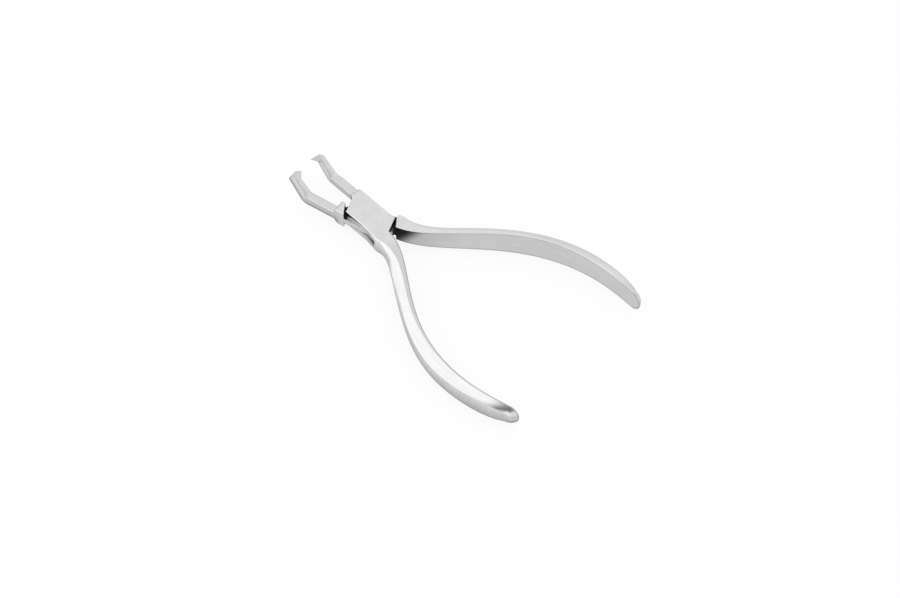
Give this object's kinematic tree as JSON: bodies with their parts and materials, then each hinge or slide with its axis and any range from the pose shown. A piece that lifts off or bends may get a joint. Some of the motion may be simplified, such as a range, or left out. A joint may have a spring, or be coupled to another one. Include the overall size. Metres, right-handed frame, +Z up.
{
  "type": "orthodontic pliers",
  "caption": "Orthodontic pliers in bare stainless steel, with slim jaws bent upwards to inward-pointing beaks, a riveted box joint and bowed handles with crowned backs.",
  "frame": {"origin": "on the pivot axis, at the underside of the joint", "axes": "+X along the centre line towards the beaks, +Y towards the box arm's handle, +Z up, the way the beaks bend"},
  "size_m": [0.1279, 0.0754, 0.012],
  "materials": {
    "box_steel": "satin ground plates, polished handle backs",
    "tongue_steel": "satin ground flats, polished handle backs",
    "pin_steel": "ground flush with the plates"
  },
  "bodies": {
    "box_half": {"box_arm": "box_steel", "pivot_pin": "pin_steel"},
    "tongue_half": {"tongue_arm": "tongue_steel"}
  },
  "joints": [
    {"name": "pivot", "type": "hinge", "parent": "box_half", "child": "tongue_half", "pos_m": [0, 0, 0.00325], "axis": [0, 0, 1], "range_deg": [-13.1, 6]}
  ]
}
